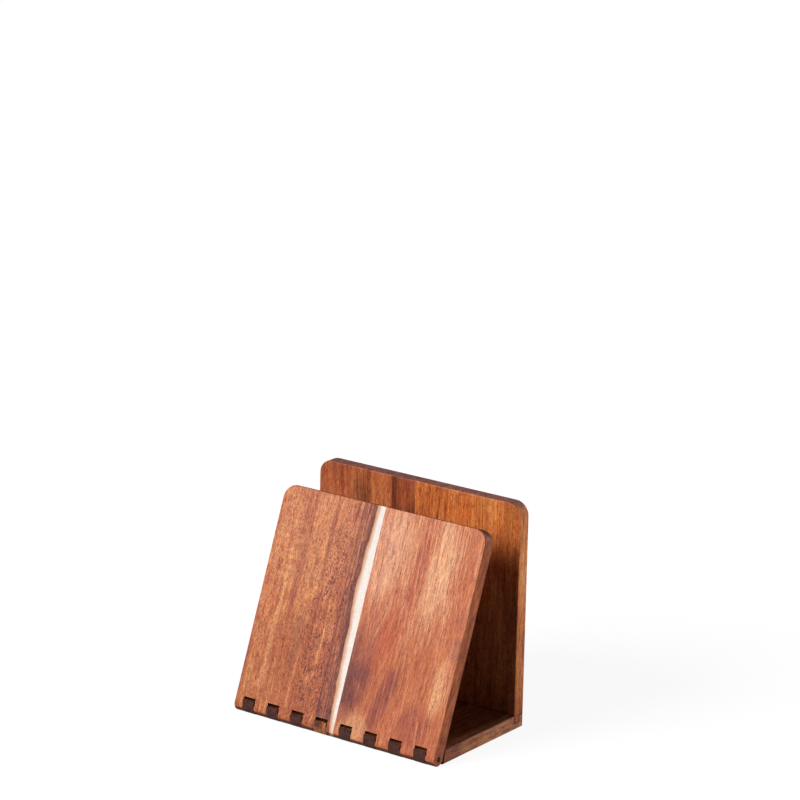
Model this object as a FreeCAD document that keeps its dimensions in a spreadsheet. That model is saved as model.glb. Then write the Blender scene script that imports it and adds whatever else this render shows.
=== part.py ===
import FreeCAD, Part
import math
import os
import Sketcher
from FreeCAD import Vector

# Napkin holder of glued-up acacia boards: a flat base, a fixed upright panel at its rear edge and a
# front flap that leans back over the base.  The flap turns on a wooden finger hinge: fingers of the
# base stand in slots of the flap, and one long pin runs through them all.
# Frame: X along the width, +Y to the rear, +Z up, origin under the middle of the base.

NAME = "napkin_holder"

# ------------------------------------------------------------------------------------------------
# Driving dimensions, in mm and degrees
# ------------------------------------------------------------------------------------------------

DIMENSIONS = [
    ("width", 170.0, "all three boards, along X"),
    ("base_depth", 103.0, "finger tips to the rear face"),
    ("base_thick", 10.0, "base board"),
    ("rear_height", 160.0, "table to the top of the rear panel"),
    ("rear_thick", 10.0, "rear panel"),
    ("flap_reach", 154.5, "pin axis to the top of the flap, along the flap"),
    ("flap_thick", 10.0, "flap board"),
    ("flap_lean", 20.9, "flap from the vertical, when it rests on its stop"),
    ("corner_round", 10.0, "upper corners of the flap and of the rear panel"),
    ("edge_ease", 0.8, "sanded round on every outer edge"),
    ("tongue_thick", 5.0, "tongue under the inner side of the rear panel"),
    ("tongue_drop", 5.0, "tongue below the top of the base"),
    ("glue_gap", 0.05, "tongue to each side of its groove"),
    ("groove_relief", 0.2, "tongue to the floor of its groove"),
    ("finger_count", 8, "fingers of the base"),
    ("end_knuckle", 7.3, "outer face of the flap to the first slot"),
    ("slot_width", 10.05, "slot of the flap"),
    ("finger_side_gap", 0.15, "finger to each side of its slot"),
    ("finger_reach", 5.1, "pin axis to the finger tips"),
    ("nose_round", 1.5, "upper edge of a finger tip"),
    ("under_round", 5.1, "lower edge of a finger tip"),
    ("swing_gap", 0.4, "finger tip to the slot's ceiling as the flap turns"),
    ("stop_gap", 0.05, "upper edge of the base to the back of the leaning flap"),
    ("barrel_gap", 0.8, "front of the base to the knuckles, level with the pin"),
    ("floor_clearance", 0.1, "table to the knuckles"),
    ("pin_dia", 4.0, "hinge pin"),
    ("pin_play", 0.05, "pin to the bore of a finger, on the radius"),
    ("pin_recess", 0.5, "pin end below the side of the flap"),
    ("pin_chamfer", 0.3, "edge of a pin end"),
    ("flap_glue_line", 0.8, "X of the joint between the two flap staves"),
    ("middle_stave_left", -22.4, "X of the left side of the narrow middle stave"),
    ("middle_stave_width", 19.8, "narrow middle stave of the base and rear panel"),
]

# What follows from them, as expressions that the document keeps
PIN_Y = "(Dims.finger_reach - Dims.base_depth / 2)"
PIN_Z = "(Dims.flap_thick / 2 + Dims.floor_clearance)"
REAR_Y = "(Dims.base_depth / 2)"
HALF_WIDTH = "(Dims.width / 2)"
HALF_FLAP = "(Dims.flap_thick / 2)"
BASE_ABOVE_PIN = f"(Dims.base_thick - {PIN_Z})"
SLOT_PITCH = "((Dims.width - 2 * Dims.end_knuckle - Dims.slot_width) / (Dims.finger_count - 1))"
FIRST_SLOT_X = f"(Dims.end_knuckle + Dims.slot_width / 2 - {HALF_WIDTH})"
PANEL_INNER_Y = f"({REAR_Y} - Dims.rear_thick)"

# Front of the base: its upper edge stops the flap, and below that it slopes away from the knuckles
STOP_Y = (
    f"({PIN_Y} + ({HALF_FLAP} + Dims.stop_gap + {BASE_ABOVE_PIN} * sin(Dims.flap_lean))"
    " / cos(Dims.flap_lean))"
)
BEHIND_PIN_Y = f"({PIN_Y} + ({HALF_FLAP} + Dims.barrel_gap) / cos(Dims.flap_lean))"
BEVEL_FOOT_Y = f"({BEHIND_PIN_Y} - ({STOP_Y} - {BEHIND_PIN_Y}) * {PIN_Z} / {BASE_ABOVE_PIN})"

# Ceiling of a slot: level while the flap leans on its stop, and clear of the finger tip's corner
TIP_CORNER_RADIUS = (
    "(sqrt((Dims.finger_reach - Dims.nose_round) ^ 2"
    f" + ({BASE_ABOVE_PIN} - Dims.nose_round) ^ 2) + Dims.nose_round)"
)
CEILING_ABOVE_PIN = f"({TIP_CORNER_RADIUS} + Dims.swing_gap)"

# Room past a board for a cut that has to go right through it
CUT_MARGIN = 1.0


# ------------------------------------------------------------------------------------------------
# Document, sheet and small helpers
# ------------------------------------------------------------------------------------------------

doc = FreeCAD.newDocument(NAME)
sheet = doc.addObject("Spreadsheet::Sheet", "Dims")
for row, (alias, value, meaning) in enumerate(DIMENSIONS, start=1):
    sheet.set(f"A{row}", alias)
    sheet.set(f"B{row}", str(value))
    sheet.set(f"C{row}", meaning)
    sheet.setAlias(f"B{row}", alias)
doc.recompute()


def value_of(expression):
    """Number that an expression on the sheet has now."""
    result = sheet.evalExpression(str(expression))
    return float(getattr(result, "Value", result))


def origin_feature(body, role):
    """Plane or axis of the body's own origin."""
    return next(f for f in body.Origin.OriginFeatures if f.Role == role)


def new_body(label):
    body = doc.addObject("PartDesign::Body", label)
    body.Label = label
    return body


def new_sketch(body, name, plane):
    """Empty sketch on one of the body's origin planes."""
    sketch = body.newObject("Sketcher::SketchObject", name)
    sketch.AttachmentSupport = [(origin_feature(body, plane), "")]
    sketch.MapMode = "FlatFace"
    return sketch


def add_polygon(sketch, corners):
    """Closed outline through corners, each a pair of expressions that hold it in place."""
    points = [Vector(value_of(u), value_of(v), 0) for u, v in corners]
    count = len(points)
    for i in range(count):
        sketch.addGeometry(Part.LineSegment(points[i], points[(i + 1) % count]), False)
    for i in range(count):
        sketch.addConstraint(Sketcher.Constraint("Coincident", i, 2, (i + 1) % count, 1))
    for i, (u, v) in enumerate(corners):
        across = sketch.addConstraint(Sketcher.Constraint("DistanceX", i, 1, points[i].x))
        sketch.setExpression(f"Constraints[{across}]", u)
        up = sketch.addConstraint(Sketcher.Constraint("DistanceY", i, 1, points[i].y))
        sketch.setExpression(f"Constraints[{up}]", v)


def add_circle(sketch, u, v, diameter):
    """Circle whose centre and diameter are expressions."""
    centre = Vector(value_of(u), value_of(v), 0)
    circle = Part.Circle(centre, Vector(0, 0, 1), value_of(diameter) / 2)
    sketch.addGeometry(circle, False)
    across = sketch.addConstraint(Sketcher.Constraint("DistanceX", 0, 3, centre.x))
    sketch.setExpression(f"Constraints[{across}]", u)
    up = sketch.addConstraint(Sketcher.Constraint("DistanceY", 0, 3, centre.y))
    sketch.setExpression(f"Constraints[{up}]", v)
    size = sketch.addConstraint(Sketcher.Constraint("Diameter", 0, value_of(diameter)))
    sketch.setExpression(f"Constraints[{size}]", diameter)


def add_centred(body, kind, name, sketch, length):
    """Pad or Pocket of a sketch, half to each side of its plane."""
    feature = body.newObject(kind, name)
    feature.Profile = sketch
    feature.Length = value_of(length)
    feature.setExpression("Length", length)
    feature.Midplane = True
    doc.recompute()
    return feature


def repeat_along_x(body, name, feature, count, pitch):
    """Evenly spaced copies of a feature towards +X."""
    pattern = body.newObject("PartDesign::LinearPattern", name)
    pattern.Originals = [feature]
    pattern.Direction = (origin_feature(body, "X_Axis"), [""])
    pattern.setExpression("Length", f"{pitch} * ({count} - 1)")
    pattern.setExpression("Occurrences", count)
    body.Tip = pattern
    doc.recompute()
    return pattern


def round_edges(body, name, radius, is_wanted):
    """Fillet on every edge of the body so far that is_wanted accepts."""
    base = body.Tip
    edges = base.Shape.Edges
    names = [
        f"Edge{i}" for i, edge in enumerate(edges, start=1)
        if not edge.Degenerated and is_wanted(edge)
    ]
    if not names:
        raise RuntimeError(f"{name}: no edge to round")
    fillet = body.newObject("PartDesign::Fillet", name)
    fillet.Base = (base, names)
    fillet.Radius = value_of(radius)
    fillet.setExpression("Radius", radius)
    doc.recompute()
    return fillet


def near(a, b):
    return abs(a - b) < 1e-4


def runs_along(edge, axis):
    """Whether an edge is straight and parallel to an axis, given as x, y or z."""
    if not isinstance(edge.Curve, Part.Line):
        return False
    others = [other for other in "xyz" if other != axis]
    direction = edge.tangentAt(edge.FirstParameter)
    return all(abs(getattr(direction, other)) < 1e-6 for other in others)


def lies_at(edge, axis, place):
    """Whether both ends and the middle of an edge have one coordinate at a place."""
    middle = edge.valueAt((edge.FirstParameter + edge.LastParameter) / 2)
    points = [vertex.Point for vertex in edge.Vertexes] + [middle]
    return all(near(getattr(point, axis), place) for point in points)


def at_either_side(edge):
    """Whether an edge lies in the left or the right face of a board."""
    half = value_of(HALF_WIDTH)
    return lies_at(edge, "x", half) or lies_at(edge, "x", -half)


def ease_for(thickness):
    """Edge rounding, held to a quarter of a thin board."""
    return f"min(Dims.edge_ease; {thickness} / 4)"


# ------------------------------------------------------------------------------------------------
# Base board: a plain board whose front edge slopes, with fingers that carry the pin
# ------------------------------------------------------------------------------------------------

def make_base_board():
    body = new_body("base_board")

    # Board, drawn from the side
    side = new_sketch(body, "base_side", "YZ_Plane")
    add_polygon(side, [
        (BEVEL_FOOT_Y, "0"),
        (REAR_Y, "0"),
        (REAR_Y, "Dims.base_thick"),
        (STOP_Y, "Dims.base_thick"),
    ])
    add_centred(body, "PartDesign::Pad", "base_pad", side, "Dims.width")
    rear_y = value_of(REAR_Y)
    round_edges(
        body, "base_ease", ease_for("Dims.base_thick"),
        lambda edge: at_either_side(edge)
        or (runs_along(edge, "x") and lies_at(edge, "y", rear_y) and lies_at(edge, "z", 0)),
    )

    # Groove for the tongue of the rear panel
    groove_front = f"{PANEL_INNER_Y} - Dims.glue_gap"
    groove_back = f"{PANEL_INNER_Y} + Dims.tongue_thick + Dims.glue_gap"
    groove_floor = "Dims.base_thick - Dims.tongue_drop - Dims.groove_relief"
    above = f"Dims.base_thick + {CUT_MARGIN}"
    groove = new_sketch(body, "groove_side", "YZ_Plane")
    add_polygon(groove, [
        (groove_front, groove_floor),
        (groove_back, groove_floor),
        (groove_back, above),
        (groove_front, above),
    ])
    through = f"Dims.width + {2 * CUT_MARGIN}"
    add_centred(body, "PartDesign::Pocket", "groove_cut", groove, through)

    # Fingers, each reaching forward from inside the board
    finger = new_sketch(body, "finger_side", "YZ_Plane")
    finger.AttachmentOffset = FreeCAD.Placement(
        Vector(0, 0, value_of(FIRST_SLOT_X)), FreeCAD.Rotation())
    finger.setExpression("AttachmentOffset.Base.z", FIRST_SLOT_X)
    tip = f"{PIN_Y} - Dims.finger_reach"
    root = f"{STOP_Y} + Dims.base_thick / 2"
    add_polygon(finger, [
        (tip, "0"),
        (root, "0"),
        (root, "Dims.base_thick"),
        (tip, "Dims.base_thick"),
    ])
    finger_width = "Dims.slot_width - 2 * Dims.finger_side_gap"
    first = add_centred(body, "PartDesign::Pad", "finger_pad", finger, finger_width)
    repeat_along_x(body, "fingers", first, "Dims.finger_count", SLOT_PITCH)
    tip_y = value_of(tip)
    top_z = value_of("Dims.base_thick")
    round_edges(
        body, "finger_nose", "Dims.nose_round",
        lambda edge: runs_along(edge, "x") and lies_at(edge, "y", tip_y) and lies_at(edge, "z", top_z),
    )
    round_edges(
        body, "finger_under", "Dims.under_round",
        lambda edge: runs_along(edge, "x") and lies_at(edge, "y", tip_y) and lies_at(edge, "z", 0),
    )

    # Bore through all the fingers, in which the pin turns
    bore = new_sketch(body, "finger_bore_circle", "YZ_Plane")
    add_circle(bore, PIN_Y, PIN_Z, "Dims.pin_dia + 2 * Dims.pin_play")
    add_centred(body, "PartDesign::Pocket", "finger_bore", bore, through)
    return body


# ------------------------------------------------------------------------------------------------
# Rear panel: upright at the rear edge, its outer side on the base and its tongue in the groove
# ------------------------------------------------------------------------------------------------

def make_rear_board():
    body = new_body("rear_board")

    # Drawn from the front, from the foot of the tongue up; the sketch looks along +Y
    front = new_sketch(body, "rear_front", "XZ_Plane")
    centre_y = f"({REAR_Y} - Dims.rear_thick / 2)"
    front.AttachmentOffset = FreeCAD.Placement(Vector(0, 0, -value_of(centre_y)), FreeCAD.Rotation())
    front.setExpression("AttachmentOffset.Base.z", f"-{centre_y}")
    foot = "Dims.base_thick - Dims.tongue_drop"
    add_polygon(front, [
        (f"-{HALF_WIDTH}", foot),
        (HALF_WIDTH, foot),
        (HALF_WIDTH, "Dims.rear_height"),
        (f"-{HALF_WIDTH}", "Dims.rear_height"),
    ])
    add_centred(body, "PartDesign::Pad", "rear_pad", front, "Dims.rear_thick")
    top_z = value_of("Dims.rear_height")
    round_edges(
        body, "rear_corners", "Dims.corner_round",
        lambda edge: runs_along(edge, "y") and lies_at(edge, "z", top_z),
    )
    foot_z = value_of(foot)
    faces_y = (value_of(REAR_Y), value_of(PANEL_INNER_Y))
    round_edges(
        body, "rear_ease", ease_for("Dims.rear_thick"),
        lambda edge: any(lies_at(edge, "y", y) for y in faces_y) and not lies_at(edge, "z", foot_z),
    )

    # The outer side stops on top of the base, which leaves the tongue
    rebate = new_sketch(body, "rebate_side", "YZ_Plane")
    tongue_back = f"{PANEL_INNER_Y} + Dims.tongue_thick"
    outside = f"{REAR_Y} + {CUT_MARGIN}"
    below = f"{foot} - {CUT_MARGIN}"
    add_polygon(rebate, [
        (tongue_back, below),
        (outside, below),
        (outside, "Dims.base_thick"),
        (tongue_back, "Dims.base_thick"),
    ])
    through = f"Dims.width + {2 * CUT_MARGIN}"
    add_centred(body, "PartDesign::Pocket", "rebate_cut", rebate, through)
    return body


# ------------------------------------------------------------------------------------------------
# Flap board, drawn upright about the pin axis and then leaned back
# ------------------------------------------------------------------------------------------------

def make_flap_board():
    body = new_body("flap_board")

    # Board above the pin, and a barrel of the same thickness about the pin
    front = new_sketch(body, "flap_front", "XZ_Plane")
    add_polygon(front, [
        (f"-{HALF_WIDTH}", "0"),
        (HALF_WIDTH, "0"),
        (HALF_WIDTH, "Dims.flap_reach"),
        (f"-{HALF_WIDTH}", "Dims.flap_reach"),
    ])
    add_centred(body, "PartDesign::Pad", "flap_pad", front, "Dims.flap_thick")
    top_z = value_of("Dims.flap_reach")
    round_edges(
        body, "flap_corners", "Dims.corner_round",
        lambda edge: runs_along(edge, "y") and lies_at(edge, "z", top_z),
    )
    barrel = new_sketch(body, "barrel_circle", "YZ_Plane")
    add_circle(barrel, "0", "0", "Dims.flap_thick")
    add_centred(body, "PartDesign::Pad", "barrel_pad", barrel, "Dims.width")
    half = value_of(HALF_FLAP)
    round_edges(
        body, "flap_ease", ease_for("Dims.flap_thick"),
        lambda edge: at_either_side(edge)
        or ((lies_at(edge, "y", half) or lies_at(edge, "y", -half)) and not lies_at(edge, "z", 0)),
    )

    # Slots for the fingers, with a ceiling that is level once the flap leans back
    in_front = f"(-{HALF_FLAP} - {CUT_MARGIN})"
    behind = f"({HALF_FLAP} + {CUT_MARGIN})"
    ceiling = "({above} + {at} * sin(Dims.flap_lean)) / cos(Dims.flap_lean)"
    slot = new_sketch(body, "slot_side", "YZ_Plane")
    slot.AttachmentOffset = FreeCAD.Placement(
        Vector(0, 0, value_of(FIRST_SLOT_X)), FreeCAD.Rotation())
    slot.setExpression("AttachmentOffset.Base.z", FIRST_SLOT_X)
    add_polygon(slot, [
        (in_front, in_front),
        (behind, in_front),
        (behind, ceiling.format(above=CEILING_ABOVE_PIN, at=behind)),
        (in_front, ceiling.format(above=CEILING_ABOVE_PIN, at=in_front)),
    ])
    first = add_centred(body, "PartDesign::Pocket", "slot_cut", slot, "Dims.slot_width")
    repeat_along_x(body, "slots", first, "Dims.finger_count", SLOT_PITCH)

    # Bore in which the pin is pressed
    bore = new_sketch(body, "flap_bore_circle", "YZ_Plane")
    add_circle(bore, "0", "0", "Dims.pin_dia")
    add_centred(body, "PartDesign::Pocket", "flap_bore", bore, f"Dims.width + {2 * CUT_MARGIN}")

    set_on_pin(body, leaning=True)
    return body


def set_on_pin(body, leaning):
    """Carry a body drawn about the pin axis to the pin's place."""
    lean = value_of("Dims.flap_lean") if leaning else 0.0
    body.Placement = FreeCAD.Placement(
        Vector(0, value_of(PIN_Y), value_of(PIN_Z)),
        FreeCAD.Rotation(Vector(-1, 0, 0), lean),
    )
    body.setExpression("Placement.Base.y", PIN_Y)
    body.setExpression("Placement.Base.z", PIN_Z)
    if leaning:
        body.setExpression("Placement.Rotation.Angle", "Dims.flap_lean")
    doc.recompute()


def make_hinge_pin():
    body = new_body("hinge_pin")
    circle = new_sketch(body, "pin_circle", "YZ_Plane")
    add_circle(circle, "0", "0", "Dims.pin_dia")
    length = "Dims.width - 2 * Dims.pin_recess"
    add_centred(body, "PartDesign::Pad", "pin_pad", circle, length)
    ends = [f"Edge{i}" for i, edge in enumerate(body.Tip.Shape.Edges, start=1)
            if isinstance(edge.Curve, Part.Circle)]
    chamfer = body.newObject("PartDesign::Chamfer", "pin_chamfer")
    chamfer.Base = (body.Group[-2], ends)
    chamfer.setExpression("Size", "Dims.pin_chamfer")
    doc.recompute()
    set_on_pin(body, leaning=False)
    return body


# ------------------------------------------------------------------------------------------------
# Staves: each board is glued up from strips of wood, so it is cut at its glue lines
# ------------------------------------------------------------------------------------------------

def cut_stave(label, board, left, right):
    """The part of a board between two places along X, given as expressions."""
    span = "(2 * (Dims.base_depth + Dims.rear_height + Dims.flap_reach))"
    strip = doc.addObject("Part::Box", f"{label}_strip")
    strip.setExpression("Length", f"{right} - {left}")
    strip.setExpression("Width", span)
    strip.setExpression("Height", span)
    strip.setExpression("Placement.Base.x", left)
    strip.setExpression("Placement.Base.y", f"-{span} / 2")
    strip.setExpression("Placement.Base.z", f"-{span} / 2")
    stave = doc.addObject("Part::Common", label)
    stave.Label = label
    stave.Base = board
    stave.Tool = strip
    return stave


base_board = make_base_board()
rear_board = make_rear_board()
flap_board = make_flap_board()
hinge_pin = make_hinge_pin()

LEFT_END = f"(-{HALF_WIDTH} - {CUT_MARGIN})"
RIGHT_END = f"({HALF_WIDTH} + {CUT_MARGIN})"
MIDDLE_LEFT = "Dims.middle_stave_left"
MIDDLE_RIGHT = "(Dims.middle_stave_left + Dims.middle_stave_width)"

nodes = [
    cut_stave("base_stave_left", base_board, LEFT_END, MIDDLE_LEFT),
    cut_stave("base_stave_middle", base_board, MIDDLE_LEFT, MIDDLE_RIGHT),
    cut_stave("base_stave_right", base_board, MIDDLE_RIGHT, RIGHT_END),
    cut_stave("rear_stave_left", rear_board, LEFT_END, MIDDLE_LEFT),
    cut_stave("rear_stave_middle", rear_board, MIDDLE_LEFT, MIDDLE_RIGHT),
    cut_stave("rear_stave_right", rear_board, MIDDLE_RIGHT, RIGHT_END),
    cut_stave("flap_stave_left", flap_board, LEFT_END, "Dims.flap_glue_line"),
    cut_stave("flap_stave_right", flap_board, "Dims.flap_glue_line", RIGHT_END),
    hinge_pin,
]
doc.recompute()


# ------------------------------------------------------------------------------------------------
# Checks, then one file per piece
# ------------------------------------------------------------------------------------------------

for item in doc.Objects:
    if "Invalid" in item.State or "Error" in item.State:
        raise RuntimeError(f"{item.Label}: {item.State}")

for body in (base_board, rear_board, flap_board):
    before = None
    for feature in body.Group:
        if not hasattr(feature, "Profile") and not hasattr(feature, "Originals"):
            continue
        volume = feature.Shape.Volume
        if before is not None and near(volume, before):
            raise RuntimeError(f"{feature.Label}: changed nothing")
        before = volume

os.makedirs("parts", exist_ok=True)
for node in nodes:
    shape = node.Shape
    if shape.isNull() or not shape.isValid() or len(shape.Solids) != 1:
        raise RuntimeError(f"{node.Label}: not one sound solid")
    shape.exportStep(os.path.join("parts", f"{node.Label}.step"))
    box = shape.optimalBoundingBox()
    print(
        f"{node.Label}: {shape.Volume / 1000:.2f} cm3,"
        f" x {box.XMin:.2f}..{box.XMax:.2f}, y {box.YMin:.2f}..{box.YMax:.2f},"
        f" z {box.ZMin:.2f}..{box.ZMax:.2f}"
    )
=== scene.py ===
import math

import bpy
from mathutils import Euler, Matrix, Vector

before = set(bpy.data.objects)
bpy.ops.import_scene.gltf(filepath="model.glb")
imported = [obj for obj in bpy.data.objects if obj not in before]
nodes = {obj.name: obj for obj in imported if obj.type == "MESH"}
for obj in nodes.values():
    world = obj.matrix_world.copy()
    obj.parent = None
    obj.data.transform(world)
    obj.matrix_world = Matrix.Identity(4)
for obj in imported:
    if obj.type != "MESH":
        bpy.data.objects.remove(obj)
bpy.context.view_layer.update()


# ---- Base board ----------------------------------------------------------------------------
# Three acacia staves glued edge to edge and planed to 10 mm, with the grain from front to back.
# Eight fingers are cut in the front, where the flap turns, and their blunt ends show end grain.
# Sanded fine and rubbed with oil, so the timber has a satin skin and dark open pores.

MM = 1000.0  # board coordinates are in millimetres
RIGHT_THROUGH = 1000.0  # mm: a figure goes through the whole thickness of a board
WANDER = (1 / 28, 1 / 28, 1 / 60)  # the grain bends about once in 28 mm across and 60 mm along
PORE, PLAIN, FIBRE = 0.25, 0.5, 0.75  # streak values in a pore, in plain timber, on a bright fibre
PORE_DEPTH = 0.00015  # metres
PORE_ROUGH, FIBRE_ROUGH, END_ROUGHER = 0.60, 0.44, 0.3  # roughness; end grain adds to it
OIL_IOR, OIL_SHEEN = 1.5, 0.25  # rubbed oil shines half as much as a plain coat would
PORE_TONE, FIBRE_FACTOR = "#A0646A", (1.5, 1.75, 1.3, 1.0)  # both multiply the colour
RIGHT, BACK, UP = (1.0, 0.0, 0.0), (0.0, 1.0, 0.0), (0.0, 0.0, 1.0)


def linear(code):
    """An sRGB hex colour as linear red, green, blue and alpha."""
    parts = [int(code[i : i + 2], 16) / 255 for i in (1, 3, 5)]
    return [p / 12.92 if p <= 0.04045 else ((p + 0.055) / 1.055) ** 2.4 for p in parts] + [1.0]


def node(tree, kind, inputs=None, stops=(), **settings):
    """Adds a node, with its settings, its links or values, and a colour ramp's stops. Colours
    are given as sRGB hex and turned linear here."""
    made = tree.nodes.new("ShaderNode" + kind)
    for key, value in settings.items():
        setattr(made, key, value)
    for key, value in (inputs or {}).items():
        if isinstance(value, bpy.types.NodeSocket):
            tree.links.new(value, made.inputs[key])
        else:
            made.inputs[key].default_value = linear(value) if isinstance(value, str) else value
    for i, (place, tone) in enumerate(stops):
        ramp = made.color_ramp.elements
        stop = ramp[i] if i < 2 else ramp.new(place)
        stop.position = place
        stop.color = linear(tone) if isinstance(tone, str) else [tone, tone, tone, 1.0]
    return made


def stave(name, turn, foot, wander):
    """Begins a stave's material. Its board coordinates are millimetres across, through and
    along the grain: straight as it was sawn, and bent a little as the tree grew."""
    material = bpy.data.materials.new(name)
    material.use_nodes = True
    tree = material.node_tree
    tree.nodes.clear()
    straight = node(tree, "Mapping", {
        "Vector": node(tree, "TexCoord").outputs["Object"],
        "Location": -(Euler(turn).to_matrix() @ Vector(foot)) * MM,
        "Rotation": turn, "Scale": (MM, MM, MM),
    }).outputs[0]
    slow = node(tree, "TexNoise", {
        "Vector": node(tree, "Mapping", {"Vector": straight, "Scale": WANDER}).outputs[0],
        "Scale": 1.0, "Detail": 1.0,
    }).outputs["Color"]
    bent = node(tree, "VectorMath", {
        0: node(tree, "VectorMath", {0: slow, 1: (0.5, 0.5, 0.5)}, operation="SUBTRACT").outputs[0],
        1: (wander, wander, 0.0), 2: straight,
    }, operation="MULTIPLY_ADD").outputs[0]
    return material, tree, straight, bent


def grain(tree, board, seed, *layers):
    """Layers of streaks, each of a width and length in millimetres with its weight and swirl,
    added up round a half."""
    total = PLAIN
    for i, (width, length, weight, swirl) in enumerate(layers):
        streaks = node(tree, "TexNoise", {
            "Vector": node(tree, "Mapping", {
                "Vector": board, "Location": (seed + 5.3 * i, seed * 0.7, seed * 1.3),
                "Scale": (1 / width, 1 / width, 1 / length),
            }).outputs[0],
            "Scale": 1.0, "Detail": 2.0, "Roughness": 0.55, "Distortion": swirl,
        }).outputs["Fac"]
        total = node(tree, "Math", {
            0: node(tree, "Math", {0: streaks, 1: PLAIN}, operation="SUBTRACT").outputs[0],
            1: weight, 2: total,
        }, operation="MULTIPLY_ADD").outputs[0]
    return total


def banded(tree, board, seed, tones, *layers):
    """Streaks in a stave's tones, from its darkest to its lightest."""
    step = 0.4 / (len(tones) - 1)
    stops = [(0.3 + i * step, tone) for i, tone in enumerate(tones)]
    return node(tree, "ValToRGB", {"Fac": grain(tree, board, seed, *layers)}, stops).outputs[0]


def fray(tree, board, seed, *layers):
    """Streaks that fray the rim of a patch: 1 on the whole, and more or less from one streak to
    the next."""
    streaks = grain(tree, board, seed, *layers)
    return node(tree, "Math", {0: streaks, 1: 1 / PLAIN}, operation="MULTIPLY").outputs[0]


def patch(tree, board, ragged, across, along, half_width, half_length, lean=0.0, soft=0.6):
    """A figure in the timber, 1 in its middle and 0 at its rim: an oval drawn out along the
    grain, leaning from it by some degrees, with its rim frayed by the streaks in ragged."""
    oval = node(tree, "TexGradient", {
        "Vector": node(tree, "Mapping", {
            "Vector": board, "Location": (across, 0.0, along),
            "Rotation": (0.0, math.radians(lean), 0.0),
            "Scale": (half_width, RIGHT_THROUGH, half_length),
        }, vector_type="TEXTURE").outputs[0],
    }, gradient_type="SPHERICAL").outputs["Fac"]
    frayed = node(tree, "Math", {0: oval, 1: ragged}, operation="MULTIPLY").outputs[0]
    return node(tree, "MapRange", {"Value": frayed, "From Max": soft},
                interpolation_type="SMOOTHSTEP").outputs[0]


def tint(tree, colour, where, tone, amount=1.0, blend="MIX"):
    """The colour with a tone laid over it where the mask says, as strongly as amount."""
    strength = node(tree, "Math", {0: where, 1: amount}, operation="MULTIPLY").outputs[0]
    return node(tree, "Mix", {"Factor": strength, 6: colour, 7: tone},
                data_type="RGBA", blend_type=blend).outputs[2]


def figured(tree, colour, board, ragged, figures, soft=0.6):
    """The colour with figures laid over it in turn. Each is a patch's place, half sizes and
    lean, and then its tone and strength."""
    for *place, tone, amount in figures:
        colour = tint(tree, colour, patch(tree, board, ragged, *place, soft), tone, amount)
    return colour


def facing(tree, direction, start=0.6, full=0.9):
    """1 on faces that look along the direction or against it, and 0 on the others."""
    normal = node(tree, "TexCoord").outputs["Normal"]
    looks = node(tree, "VectorMath", {0: normal, 1: direction},
                 operation="DOT_PRODUCT").outputs["Value"]
    return node(tree, "MapRange", {
        "Value": node(tree, "Math", {0: looks}, operation="ABSOLUTE").outputs[0],
        "From Min": start, "From Max": full,
    }, interpolation_type="SMOOTHSTEP").outputs[0]


def oiled(material, tree, colour, board, fine, end, end_tone, end_amount, piece):
    """Ends a stave's material: fibres and pores in the colour, darker end grain, and a satin
    skin of oil that the pores break. It goes on the stave's own slot."""
    # Vessels and fibres are 0.1 to 0.2 mm wide; they are drawn about 1 mm wide so that they show.
    shade = node(tree, "MapRange", {"Value": fine, "From Min": PLAIN, "From Max": PORE}).outputs[0]
    shine = node(tree, "MapRange", {"Value": fine, "From Min": PLAIN, "From Max": FIBRE}).outputs[0]
    lit = tint(tree, colour, shade, PORE_TONE, blend="MULTIPLY")
    lit = tint(tree, lit, shine, FIBRE_FACTOR, blend="MULTIPLY")
    ends = node(tree, "Math", {0: end, 1: end_amount}, operation="MULTIPLY").outputs[0]
    # End grain is mottled by its rings, from about half to one and a half times its tone.
    rings = banded(tree, board, 7.0, (0.55, 1.4), (1.6, 40.0, 1.6, 0.0), (6.0, 60.0, 0.8, 0.0))
    cut = node(tree, "Mix", {"Factor": 1.0, 6: end_tone, 7: rings},
               data_type="RGBA", blend_type="MULTIPLY").outputs[2]
    lit = tint(tree, lit, ends, cut)
    # The oil's skin is satin on the fibres, duller in the pores, and dullest on end grain.
    skin = node(tree, "MapRange", {
        "Value": fine, "From Min": 0.3, "From Max": 0.7,
        "To Min": PORE_ROUGH, "To Max": FIBRE_ROUGH,
    }).outputs[0]
    skin = node(tree, "Math", {0: ends, 1: END_ROUGHER, 2: skin},
                operation="MULTIPLY_ADD").outputs[0]
    bump = node(tree, "Bump", {
        "Height": fine, "Strength": 0.25, "Distance": PORE_DEPTH,
    }).outputs[0]
    timber = node(tree, "BsdfPrincipled", {
        "Base Color": lit, "Roughness": skin, "Normal": bump, "IOR": OIL_IOR,
        "Specular IOR Level": OIL_SHEEN,
    })
    node(tree, "OutputMaterial", {"Surface": timber.outputs[0]})
    nodes[piece].material_slots[0].material = material


FRONT_TO_BACK, BASE_FRONT = (math.pi / 2, 0.0, 0.0), (0.0, -0.0515, 0.0)
# Millimetres back from the front edge: the middle of the finger joint, where the sides' painted
# shade stops and where it is darkest, and where the rear end's own tone begins and is full.
JOINT, SIDE_SHADE_END, SIDE_SHADE_FULL, REAR_START, REAR_FULL = 8.0, 38.0, 26.0, 20.0, 50.0
# Where the painted shade in the joint begins and where it is full:
JOINT_SHADE_EDGE, JOINT_SHADE_FULL = 7.0, 5.0  # mm to each side of the joint's middle
KNOT_LOW, KNOT_HIGH = -1.5, -6.5  # mm down from the table, so both lie above it
# Places across and along in mm, and half sizes: a painted lit strip by the right rim, and a knot.
PAINTED_LIT_RIM, KNOT = (81.5, 50.0, 3.4, 400.0), (-14.0, 0.0, 9.0, 30.0)
SIDE_SHADE_FACTOR = (0.56, 0.42, 0.36, 1.0)  # a factor on red, green and blue
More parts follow.
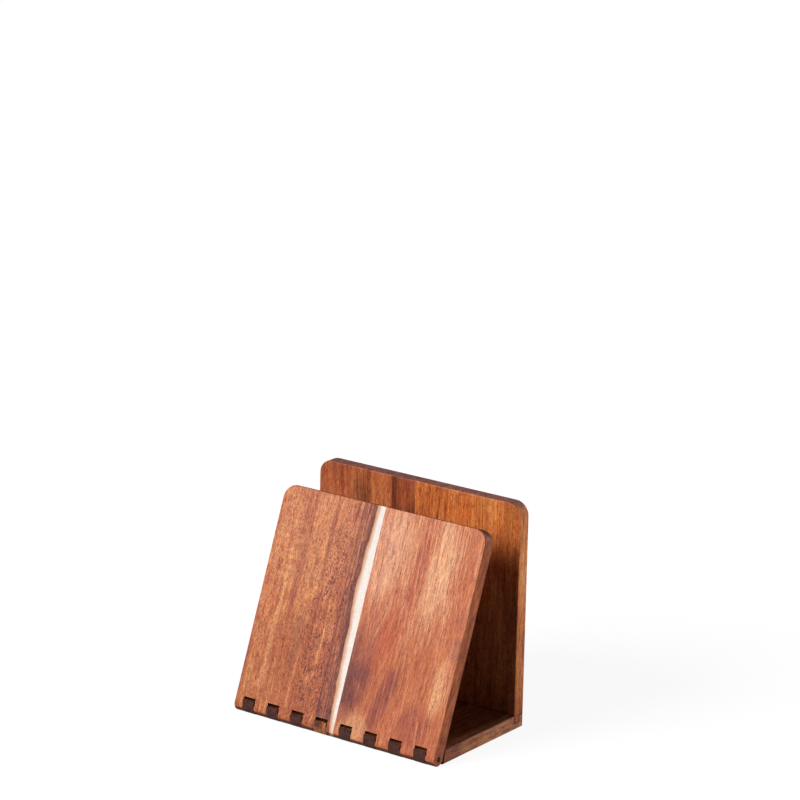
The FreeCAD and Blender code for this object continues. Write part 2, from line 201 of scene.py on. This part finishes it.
# The groove's middle is 7.5 mm up and 95.5 mm back. The glue line round it, and that of the lip
# behind it, are given in halves of its 5 mm.
GROOVE, GROOVE_HALF = (0.0, -7.5, 95.5), 2.5
GLUE_EDGE, GLUE_FULL = 1.36, 1.28
LIP_EDGE, LIP_FULL = -0.62, -0.70

for piece, light, middle, dark, end_tone, seed in (
    ("base_stave_left", "#BC7A50", "#A05C36", "#743C22", "#4A2A28", 3.0),
    ("base_stave_middle", "#BC7A50", "#A05C36", "#743C22", "#C87C4A", 11.0),
    ("base_stave_right", "#D49068", "#BC7650", "#904E30", "#402422", 19.0),
):
    # Acacia, planed, sanded and oiled: brown bands run from front to back, over fine fibres.
    material, tree, straight, board = stave(
        "oiled_acacia_" + piece, FRONT_TO_BACK, BASE_FRONT, 3.0)
    through, along = node(tree, "SeparateXYZ", {0: straight}).outputs[1:]
    sides = facing(tree, RIGHT)
    colour = banded(tree, board, seed, (dark, middle, light), (5.0, 90.0, 1.0, 0.0),
                    (2.4, 40.0, 0.6, 0.0), (14.0, 26.0, 0.6, 0.3))
    # Painted shade: broad faces darker than sawn sides; painted light: a strip by the right rim.
    flat = facing(tree, UP, 0.2, 0.5)
    colour = tint(tree, colour, flat, "#BCAF96", blend="MULTIPLY")
    ragged = fray(tree, board, seed + 2, (2.0, 26.0, 1.6, 0.0), (7.0, 12.0, 0.8, 0.3))
    colour = tint(tree, colour, patch(tree, board, ragged, *PAINTED_LIT_RIM), "#C89068", 0.6)
    # Painted shade darkens the joint between the fingers' lips and the flap, and the slot walls.
    off_joint = node(tree, "Math", {0: along, 1: JOINT}, operation="SUBTRACT").outputs[0]
    joint = node(tree, "MapRange", {
        "Value": node(tree, "Math", {0: off_joint}, operation="ABSOLUTE").outputs[0],
        "From Min": JOINT_SHADE_EDGE, "From Max": JOINT_SHADE_FULL,
    }).outputs[0]
    joint = node(tree, "Math", {0: joint, 1: flat}, operation="MULTIPLY").outputs[0]
    walls = node(tree, "Math", {0: along, 1: JOINT}, operation="LESS_THAN").outputs[0]
    walls = node(tree, "Math", {0: sides, 1: walls}, operation="MULTIPLY").outputs[0]
    oil = node(tree, "Math", {0: joint, 1: walls}, operation="MAXIMUM").outputs[0]
    colour = tint(tree, colour, oil, "#3A1A10", 0.8)
    # Painted shade: the sides are darkened over the first 30 mm from the joint.
    front = node(tree, "MapRange", {
        "Value": along, "From Min": SIDE_SHADE_END, "From Max": SIDE_SHADE_FULL,
    }).outputs[0]
    front = node(tree, "Math", {0: front, 1: sides}, operation="MULTIPLY").outputs[0]
    colour = tint(tree, colour, front, SIDE_SHADE_FACTOR, blend="MULTIPLY")
    # A dark glue line frames the groove and the lip behind it. It is finer than half a
    # millimetre, and is drawn 0.8 mm wide so that it shows.
    up, back = node(tree, "SeparateXYZ", {0: node(tree, "Mapping", {
        "Vector": straight, "Location": GROOVE, "Scale": (1.0, GROOVE_HALF, GROOVE_HALF),
    }, vector_type="TEXTURE").outputs[0]}).outputs[1:]
    out = node(tree, "Math", {
        0: node(tree, "Math", {0: up}, operation="ABSOLUTE").outputs[0],
        1: node(tree, "Math", {0: back}, operation="ABSOLUTE").outputs[0],
    }, operation="MAXIMUM").outputs[0]
    groove = node(tree, "MapRange", {
        "Value": out, "From Min": GLUE_EDGE, "From Max": GLUE_FULL,
    }).outputs[0]
    lip = node(tree, "Math", {
        0: node(tree, "Math", {0: back, 1: 1.0}, operation="GREATER_THAN").outputs[0],
        1: node(tree, "MapRange", {
            "Value": up, "From Min": LIP_EDGE, "From Max": LIP_FULL,
        }).outputs[0],
    }, operation="MULTIPLY").outputs[0]
    glue = node(tree, "Math", {0: groove, 1: lip}, operation="MAXIMUM").outputs[0]
    colour = tint(tree, colour, glue, "#220F0A", 0.95)
    fine = grain(tree, board, seed + 1, (1.4, 6.0, 0.40, 0.2), (0.8, 1.9, 0.60, 0.2),
                 (3.0, 9.0, 0.30, 0.2))
    # The middle stave's finger is pale, with a dark knot at its upper left. The rear end of
    # each stave is an even brown.
    high = node(tree, "MapRange", {
        "Value": through, "From Min": KNOT_LOW, "From Max": KNOT_HIGH,
    }).outputs[0]
    knot = patch(tree, straight, ragged, *KNOT)
    knot = node(tree, "Math", {0: knot, 1: high}, operation="MULTIPLY").outputs[0]
    end_tone = tint(tree, end_tone, knot, "#4A2A28", 0.9)
    rear = node(tree, "MapRange", {
        "Value": along, "From Min": REAR_START, "From Max": REAR_FULL,
    }).outputs[0]
    end_tone = tint(tree, end_tone, rear, "#6A4434")
    ends = facing(tree, BACK, 0.15, 0.4)
    oiled(material, tree, colour, board, fine, ends, end_tone, 0.95, piece)


# ---- Rear panel ----------------------------------------------------------------------------
# Three acacia staves on end, glued edge to edge, 10 mm thick, with round top corners.
# Half its thickness goes down as a tongue into the base's groove. The right stave is golden,
# the middle one the darkest, and the left one a middle brown with a dark cloud.

UPRIGHT, REAR_FOOT = (0.0, 0.0, 0.0), (0.0, 0.0, 0.0)
# Millimetres up from the table: where the inner face's painted shade begins and where it is
# deepest, and where the sawn sides are darkest and palest.
SHADE_FROM, SHADE_TO = 150.0, 76.0
SAWN_DARK, SAWN_PALE = 10.0, 80.0
# Factors on red, green and blue: for the inner face's painted shade, and the sides below and above.
INNER_SHADE_FACTOR = (0.78, 1.0, 1.35, 1.0)
SIDE_BELOW, SIDE_ABOVE = (0.72, 0.60, 0.50, 1.0), (1.32, 1.68, 2.30, 1.0)
INNER = 46.0  # mm back from the middle: what lies in front of it is the panel's inner face

for piece, light, middle, dark, seed, figures in (
    ("rear_stave_left", "#D07C4C", "#B86036", "#883C22", 31.0, (
        (-49.0, 132.0, 15.0, 50.0, 5.0, "#6A3A20", 0.8),
        (-72.0, 150.0, 8.0, 60.0, 0.0, "#A8583A", 0.4),
        (-32.0, 150.0, 8.0, 60.0, 0.0, "#C87844", 0.4),
    )),
    ("rear_stave_middle", "#BC643E", "#A04E2C", "#70301C", 43.0, (
        (-20.0, 140.0, 7.0, 300.0, 0.0, "#562414", 0.7),
        (-5.0, 130.0, 7.0, 34.0, 0.0, "#5A2818", 0.8),
    )),
    ("rear_stave_right", "#E6904E", "#D07038", "#9C4822", 57.0, (
        (18.0, 148.0, 2.2, 34.0, 8.0, "#74280E", 1.0),
        (22.5, 144.0, 2.4, 26.0, 8.0, "#82300F", 0.9),
        (4.0, 130.0, 9.0, 34.0, 0.0, "#A04C20", 0.6),
        (36.0, 150.0, 12.0, 80.0, 3.0, "#C86428", 0.6),
        (57.0, 154.0, 11.0, 40.0, 3.0, "#DC9450", 0.6),
        (76.0, 150.0, 12.0, 60.0, 0.0, "#B0662E", 0.5),
    )),
):
    # Acacia, planed, sanded and oiled: the bands stand upright and differ from stave to stave.
    material, tree, straight, board = stave("oiled_acacia_" + piece, UPRIGHT, REAR_FOOT, 3.0)
    through, along = node(tree, "SeparateXYZ", {0: straight}).outputs[1:]
    sides = facing(tree, RIGHT)
    colour = banded(tree, board, seed, (dark, middle, light), (6.0, 140.0, 0.4, 0.0),
                    (2.2, 50.0, 0.4, 0.0), (14.0, 40.0, 0.45, 0.2), (1.1, 20.0, 0.4, 0.1))
    fine = grain(tree, board, seed + 1, (1.2, 9.0, 0.36, 0.15), (0.7, 3.5, 0.52, 0.15),
                 (0.45, 1.6, 0.60, 0.15))
    ragged = fray(tree, board, seed + 2, (1.8, 50.0, 2.2, 0.0), (7.0, 30.0, 1.4, 0.2))
    colour = figured(tree, colour, board, ragged, figures, 1.1)
    # Painted shade: its inner face turns slowly to a deeper, cooler brown towards its foot.
    foot = node(tree, "MapRange", {
        "Value": along, "From Min": SHADE_FROM, "From Max": SHADE_TO,
    }, interpolation_type="SMOOTHSTEP").outputs[0]
    inner = node(tree, "Math", {0: through, 1: INNER}, operation="LESS_THAN").outputs[0]
    inner = node(tree, "Math", {0: inner, 1: sides}, operation="SUBTRACT",
                 use_clamp=True).outputs[0]
    foot = node(tree, "Math", {0: foot, 1: inner}, operation="MULTIPLY").outputs[0]
    colour = tint(tree, colour, foot, INNER_SHADE_FACTOR, blend="MULTIPLY")
    # Its sawn sides are pale and tan above, and darker towards the foot.
    up = node(tree, "MapRange", {
        "Value": along, "From Min": SAWN_DARK, "From Max": SAWN_PALE,
    }).outputs[0]
    colour = tint(tree, colour, sides, tint(tree, SIDE_BELOW, up, SIDE_ABOVE), blend="MULTIPLY")
    oiled(material, tree, colour, board, fine, facing(tree, UP), "#8A5C58", 0.85, piece)


# ---- Flap, left stave ----------------------------------------------------------------------
# The wider acacia stave of the leaning front flap: orange-brown heartwood with a curly figure,
# and a narrow band of pale sapwood along the edge that is glued to the other stave. Slots are
# cut in its foot, which leaves round knuckles on the hinge pin.

LEAN = math.radians(20.9)
LEANING, PIN = (LEAN, 0.0, 0.0), (0.0, -0.0464, 0.0051)
FOOT_END, FOOT_FULL = 30.0, 20.0  # mm up from the pin: how far the foot's tones reach
# Figures in the timber: each one's place across and up in millimetres, and its half sizes.
STREAKED, RIPPLED = (-11.8, 75.0, 7.0, 800.0), (-72.0, 112.0, 20.0, 34.0)
CURLED, CURLED_ELSEWHERE = (-26.0, 55.0, 17.0, 110.0), 0.15
# The sapwood's left edge: its share of the way up to 155 mm above the pin, and how far it lies
# there from the middle of the flap, in centimetres. It wavers by a millimetre or two.
SAP_LENGTH, CENTIMETRE, SAP_FRAY = 155.0, 10.0, 2.4
SAP_EDGE = [
    (0.0, 0.24), (0.10, 0.40), (0.23, 0.50), (0.36, 0.56), (0.49, 0.66), (0.62, 0.80),
    (0.87, 0.60), (1.0, 0.50),
]


def flap_ends(tree, along, top_tone):
    """The flap's foot, its end grain and that grain's tone. The ends fade out round the top
    corners, and stop sharply on the foot, where they are darkest round the knuckles."""
    foot = node(tree, "MapRange", {
        "Value": along, "From Min": FOOT_END, "From Max": FOOT_FULL,
    }).outputs[0]
    up = (0.0, math.sin(LEAN), math.cos(LEAN))
    ends = node(tree, "Mix", {
        "Factor": foot, 2: facing(tree, up, 0.25, 0.85), 3: facing(tree, up, 0.48, 0.62),
    }).outputs[0]
    return foot, ends, tint(tree, top_tone, foot, "#4A2C26")


# Acacia, planed, sanded and oiled: long bands and streaks, and flecks where the fibres curl.
material, tree, straight, board = stave("oiled_acacia_flap_stave_left", LEANING, PIN, 3.0)
across, _, along = node(tree, "SeparateXYZ", {0: straight}).outputs
colour = banded(tree, board, 71.0, ("#9C4638", "#CC744A", "#E49A66"), (5.0, 110.0, 0.38, 0.0),
                (2.0, 36.0, 0.48, 0.0), (12.0, 20.0, 0.45, 0.4))
ragged = fray(tree, board, 74.0, (2.0, 26.0, 2.4, 0.0), (7.0, 12.0, 1.6, 0.3))
colour = figured(tree, colour, board, ragged, (
    # These two are painted light and shade: lighter towards the top, darker towards the foot.
    (-45.0, 150.0, 80.0, 80.0, 0.0, "#DE9068", 0.5),
    (-45.0, 0.0, 80.0, 90.0, 0.0, "#AC5A2C", 0.55),
    (-59.0, 125.0, 8.0, 60.0, 0.0, "#A8543C", 0.5),
    (-67.0, 60.0, 2.4, 65.0, 0.0, "#E29E68", 0.5),
    (-47.0, 90.0, 8.0, 55.0, 0.0, "#DE9A62", 0.3),
    (-38.0, 130.0, 2.2, 55.0, 0.0, "#7A4030", 0.5),
    (-46.0, 55.0, 6.0, 32.0, 0.0, "#96503A", 0.5),
    (-24.0, 45.0, 14.0, 90.0, 0.0, "#B05A40", 0.35),
    (-11.5, 75.0, 8.0, 400.0, 0.0, "#A85C4C", 0.5),
    (-16.4, 75.0, 0.9, 400.0, 0.0, "#6E3230", 0.45),
))
# Dark streaks run up beside the sapwood, each a little broken, with tan wood between them.
streaks = grain(tree, board, 78.0, (0.9, 75.0, 2.4, 0.1), (0.6, 20.0, 1.6, 0.2))
streaks = node(tree, "MapRange", {
    "Value": streaks, "From Min": 0.50, "From Max": 0.30,
}).outputs[0]
beside = patch(tree, board, 1.0, *STREAKED, soft=0.35)
streaks = node(tree, "Math", {0: streaks, 1: beside}, operation="MULTIPLY").outputs[0]
colour = tint(tree, colour, streaks, "#5E2C30", 0.75)
# A faint ripple shimmers across the grain near the top left corner: its waves lie 3.5 mm apart.
ripple = node(tree, "Mapping", {
    "Vector": board, "Rotation": (0.0, math.radians(8.0), 0.0), "Scale": (1 / 16, 1.0, 1 / 3.5),
}).outputs[0]
ripple = node(tree, "TexNoise", {"Vector": ripple, "Scale": 1.0, "Detail": 1.0}).outputs["Fac"]
ripple = node(tree, "MapRange", {"Value": ripple, "From Min": 0.45, "From Max": 0.65}).outputs[0]
corner = patch(tree, board, 1.0, *RIPPLED)
ripple = node(tree, "Math", {0: ripple, 1: corner}, operation="MULTIPLY").outputs[0]
colour = tint(tree, colour, ripple, "#EBA870", 0.45)
# Where the fibres curl, their cut ends make small dark crescents, 2 to 4 mm long.
curls = node(tree, "MapRange", {
    "Value": grain(tree, board, 76.0, (2.0, 3.0, 1.4, 1.8)), "From Min": 0.46, "From Max": 0.37,
}).outputs[0]
curly = node(tree, "Math", {
    0: patch(tree, board, ragged, *CURLED, soft=0.5),
    1: 1 - CURLED_ELSEWHERE, 2: CURLED_ELSEWHERE,
}, operation="MULTIPLY_ADD").outputs[0]
curls = node(tree, "Math", {0: curls, 1: curly}, operation="MULTIPLY").outputs[0]
colour = tint(tree, colour, curls, "#6C2C2E", 0.92)
# How far a point lies past the sapwood's left edge, which wavers and frays.
edge = node(tree, "ValToRGB", {
    "Fac": node(tree, "Math", {0: along, 1: SAP_LENGTH}, operation="DIVIDE").outputs[0],
}, stops=SAP_EDGE).outputs[0]
inside = node(tree, "Math", {0: edge, 1: CENTIMETRE, 2: across},
              operation="MULTIPLY_ADD").outputs[0]
wavers = grain(tree, board, 75.0, (2.0, 14.0, 1.0, 0.0), (5.0, 9.0, 0.6, 0.3))
inside = node(tree, "Math", {0: wavers, 1: SAP_FRAY, 2: inside},
              operation="MULTIPLY_ADD").outputs[0]
# Millimetres past that edge, where each begins and is full: the heartwood's darkest stripe,
# which swells and thins, the sapwood, and the sapwood's turn from tan to cream.
stripe, sap, cream = [
    node(tree, "MapRange", {"Value": inside, "From Min": start, "From Max": full},
         interpolation_type="SMOOTHSTEP").outputs[0]
    for start, full in ((-4.4, -1.4), (0.4, 1.0), (0.9, 5.0))
]
swells = grain(tree, board, 79.0, (1.6, 12.0, 1.8, 0.3))
swells = node(tree, "MapRange", {
    "Value": swells, "From Min": 0.2, "From Max": 0.6, "To Min": 0.4,
}).outputs[0]
stripe = node(tree, "Math", {0: stripe, 1: swells}, operation="MULTIPLY").outputs[0]
colour = tint(tree, colour, stripe, "#5E2C34", 0.8)
colour = tint(tree, colour, sap, tint(tree, "#DA9C70", cream, "#FAEEE6"))
# Sapwood has no dark vessels, so its fibres hardly show.
fine = grain(tree, board, 72.0, (1.3, 5.0, 0.38, 0.4), (0.7, 2.0, 0.60, 0.4),
             (0.45, 1.3, 0.68, 0.3))
smooth = node(tree, "Math", {0: sap, 1: 0.8}, operation="MULTIPLY").outputs[0]
fine = node(tree, "Mix", {"Factor": smooth, 2: fine, 3: PLAIN}).outputs[0]
# The foot's end grain has a tan stretch in the sapwood.
foot, ends, end_tone = flap_ends(tree, along, "#7A4028")
tan = node(tree, "Math", {0: sap, 1: foot}, operation="MULTIPLY").outputs[0]
end_tone = tint(tree, end_tone, tan, "#A86C42")
oiled(material, tree, colour, board, fine, ends, end_tone, 0.9, "flap_stave_left")


# ---- Flap, right stave ---------------------------------------------------------------------
# The other acacia stave, glued to the sapwood and slotted for the hinge alike: pinkish, smoother
# heartwood. Reddish bands lean across it from its foot by the glue line, past a dark cloud.

LINED = (48.0, 118.0, 42.0, 66.0, 3.0)  # the lines' place, half sizes and lean
BRIGHTER_FIBRES = 0.03  # added to the streaks, so that fewer of them are pores

# Acacia, planed, sanded and oiled: broad soft bands, and fine light lines rather than pores.
material, tree, straight, board = stave("oiled_acacia_flap_stave_right", LEANING, PIN, 4.0)
along = node(tree, "SeparateXYZ", {0: straight}).outputs[2]
colour = banded(tree, board, 91.0, ("#AA5038", "#CC7550", "#E09874"), (6.0, 90.0, 0.30, 0.0),
                (2.2, 45.0, 0.32, 0.0), (14.0, 40.0, 0.40, 0.3), (1.1, 24.0, 0.32, 0.1))
ragged = fray(tree, board, 94.0, (1.6, 40.0, 1.6, 0.0), (6.0, 30.0, 1.2, 0.3))
colour = figured(tree, colour, board, ragged, (
    (12.0, 128.0, 18.0, 55.0, 4.0, "#E2A084", 0.75),
    (54.0, 120.0, 15.0, 52.0, 4.0, "#EAA680", 0.8),
    # Painted shade: this broad figure darkens the whole lower stave towards its foot.
    (48.0, 25.0, 75.0, 85.0, 0.0, "#B85E36", 0.7),
    (22.0, 62.0, 14.0, 74.0, 21.0, "#BC5838", 0.8),
    (39.0, 122.0, 8.0, 62.0, 4.0, "#B65438", 0.8),
    (8.0, 55.0, 14.0, 50.0, 10.0, "#B0604A", 0.6),
    (18.0, 74.0, 1.0, 34.0, 16.0, "#D8946A", 0.45),
    (27.0, 49.0, 1.0, 26.0, 18.0, "#D8946A", 0.3),
    (34.0, 28.0, 8.0, 34.0, 16.0, "#8C4036", 0.9),
    (62.0, 16.0, 16.0, 20.0, 0.0, "#A04A36", 0.75),
    (75.0, 112.0, 9.0, 60.0, 3.0, "#C06440", 0.75),
    (81.0, 72.0, 5.0, 12.0, 0.0, "#A0604C", 0.7),
    (76.0, 46.0, 9.0, 26.0, 4.0, "#E6A478", 0.7),
    (16.0, 4.0, 15.0, 16.0, 0.0, "#D8966C", 0.7),
))
# Fine light and red lines run down from its top, straight and a millimetre apart.
lines = grain(tree, board, 98.0, (0.9, 34.0, 2.2, 0.1), (0.6, 14.0, 1.4, 0.2))
upper = patch(tree, board, 1.0, *LINED)
for least, most, tone, amount in ((0.54, 0.80, "#F4C8A0", 0.32), (0.46, 0.24, "#B05034", 0.25)):
    line = node(tree, "MapRange", {"Value": lines, "From Min": least, "From Max": most}).outputs[0]
    line = node(tree, "Math", {0: line, 1: upper}, operation="MULTIPLY").outputs[0]
    colour = tint(tree, colour, line, tone, amount)
# The cloud beside the glue line is smooth: a halo, a core that leans away from it, and a tail.
cloudy = fray(tree, board, 97.0, (9.0, 14.0, 0.9, 0.6), (1.6, 12.0, 0.5, 0.2))
colour = figured(tree, colour, board, cloudy, (
    (8.0, 36.0, 20.0, 44.0, 6.0, "#9A4C38", 0.8),
    (8.0, 29.0, 14.0, 30.0, 20.0, "#683234", 0.75),
    (1.0, 47.0, 9.0, 32.0, 0.0, "#6C3234", 0.7),
), 0.9)
# Its sawn edge is a darker, mottled brown.
sawn = banded(tree, board, 95.0, ("#8E4126", "#C0663A"), (5.0, 14.0, 1.2, 0.4))
colour = tint(tree, colour, facing(tree, RIGHT), sawn)
# Its fibres show as light lines more than as dark ones.
fine = grain(tree, board, 92.0, (1.1, 18.0, 0.40, 0.1), (0.65, 6.0, 0.60, 0.1),
             (0.42, 1.8, 0.64, 0.1))
fine = node(tree, "Math", {0: fine, 1: BRIGHTER_FIBRES}, operation="ADD").outputs[0]
_, ends, end_tone = flap_ends(tree, along, "#6E3826")
oiled(material, tree, colour, board, fine, ends, end_tone, 0.9, "flap_stave_right")


# ---- Hinge pin -----------------------------------------------------------------------------
# A 4 mm dowel pressed into the flap's knuckles and turning in the base's fingers. Only its
# two ends show, sunk half a millimetre: end grain, nearly black where the oil has soaked in.

SIDE_TO_SIDE = (0.0, -math.pi / 2, 0.0)

# Hardwood dowel, cut square and oiled: tight dark rings.
material, tree, _, board = stave("oiled_hardwood_dowel", SIDE_TO_SIDE, PIN, 0.3)
rings = grain(tree, board, 111.0, (1.2, 40.0, 1.4, 0.0))
colour = node(tree, "ValToRGB", {"Fac": rings},
              stops=[(0.35, "#2E1A1A"), (0.65, "#4E3230")]).outputs[0]
oiled(material, tree, colour, board, rings, facing(tree, RIGHT), "#3A2222", 0.7, "hinge_pin")


# ---- Table top, light and camera -----------------------------------------------------------
# A plain white table top in a white room, with a soft box in front and above, a lower one at
# the right and one behind. The table keeps a faint soft shadow of the holder.

TABLE_HALF = 3.0  # metres
WHITE = "#FFFFFF"
TABLE_GLOW, GLOW_SHARE = 1.84, 0.5  # half of what the eye sees is glow, and half takes the shadow
ROOM_LIGHT, ROOM_SEEN = 0.03, 1.0  # the room hardly lights the holder, but is seen white


def seen_by(tree, *rays):
    """1 for the kinds of light path that are named, and 0 for all others."""
    path = node(tree, "LightPath").outputs
    seen = 0.0
    for ray in rays:
        seen = node(tree, "Math", {0: seen, 1: path[ray]}, operation="MAXIMUM").outputs[0]
    return seen


top = bpy.data.meshes.new("table_top")
corners = [(-1, -1), (1, -1), (1, 1), (-1, 1)]
top.from_pydata([(x * TABLE_HALF, y * TABLE_HALF, 0) for x, y in corners], [], [(0, 1, 2, 3)])
table = bpy.data.objects.new("table_top", top)
bpy.context.scene.collection.objects.link(table)

# Pale laminate, matt. The eye and reflections see it white, with a part of its shadow.
material = bpy.data.materials.new("matt_pale_laminate")
material.use_nodes = True
tree = material.node_tree
tree.nodes.clear()
speckle = node(tree, "TexNoise", {
    "Vector": node(tree, "TexCoord").outputs["Object"], "Scale": 400.0, "Detail": 2.0,
}).outputs["Fac"]
pale = node(tree, "ValToRGB", {"Fac": speckle},
            stops=[(0.3, "#8E8E8E"), (0.7, "#949494")]).outputs[0]
matt = node(tree, "BsdfDiffuse", {"Color": pale}).outputs[0]
glow = node(tree, "Emission", {"Color": WHITE, "Strength": TABLE_GLOW}).outputs[0]
seen = seen_by(tree, "Is Camera Ray", "Is Glossy Ray", "Is Transmission Ray")
share = node(tree, "Math", {0: seen, 1: GLOW_SHARE}, operation="MULTIPLY").outputs[0]
both = node(tree, "MixShader", {0: share, 1: matt, 2: glow}).outputs[0]
node(tree, "OutputMaterial", {"Surface": both})
top.materials.append(material)

world = bpy.data.worlds.new("white_room")
bpy.context.scene.world = world
world.use_nodes = True
tree = world.node_tree
tree.nodes.clear()
seen = seen_by(tree, "Is Camera Ray", "Is Transmission Ray")
level = node(tree, "Math", {0: seen, 1: ROOM_SEEN - ROOM_LIGHT, 2: ROOM_LIGHT},
             operation="MULTIPLY_ADD").outputs[0]
room = node(tree, "Background", {"Color": WHITE, "Strength": level}).outputs[0]
node(tree, "OutputWorld", {"Surface": room})

# Each soft box is far off: the direction to it, its width seen from the holder, its strength.
for name, towards, spread, strength in (
    ("soft_box_front", (-0.362, -0.764, 0.533), 32.0, 3.15),
    ("soft_box_right", (0.99, 0.04, 0.06), 12.0, 1.2),
    ("soft_box_behind", (0.10, 0.98, 0.15), 16.0, 1.1),
):
    lamp = bpy.data.lights.new(name, "SUN")
    lamp.angle, lamp.energy = math.radians(spread), strength
    box = bpy.data.objects.new(name, lamp)
    box.rotation_euler = (-Vector(towards)).to_track_quat("-Z", "Y").to_euler()
    bpy.context.scene.collection.objects.link(box)

# The camera looks from the front right and above: degrees round the holder, down and tilted.
ROUND, DOWN, TILT = 36.262, 15.735, 1.175
EYE = (1.36090, -1.83697, 0.87096)
FOCAL_LENGTH, SENSOR_WIDTH = 160.06, 36.0  # mm
lens = bpy.data.cameras.new("camera")
lens.lens, lens.sensor_width = FOCAL_LENGTH, SENSOR_WIDTH
lens.clip_start, lens.clip_end = 0.05, 50.0
camera = bpy.data.objects.new("camera", lens)
camera.location = EYE
look = Matrix.Rotation(math.radians(ROUND), 3, "Z")
look = look @ Matrix.Rotation(math.radians(90 - DOWN), 3, "X")
camera.rotation_euler = (look @ Matrix.Rotation(math.radians(TILT), 3, "Z")).to_euler()
bpy.context.scene.collection.objects.link(camera)
bpy.context.scene.camera = camera
bpy.context.scene.view_settings.view_transform = "Standard"
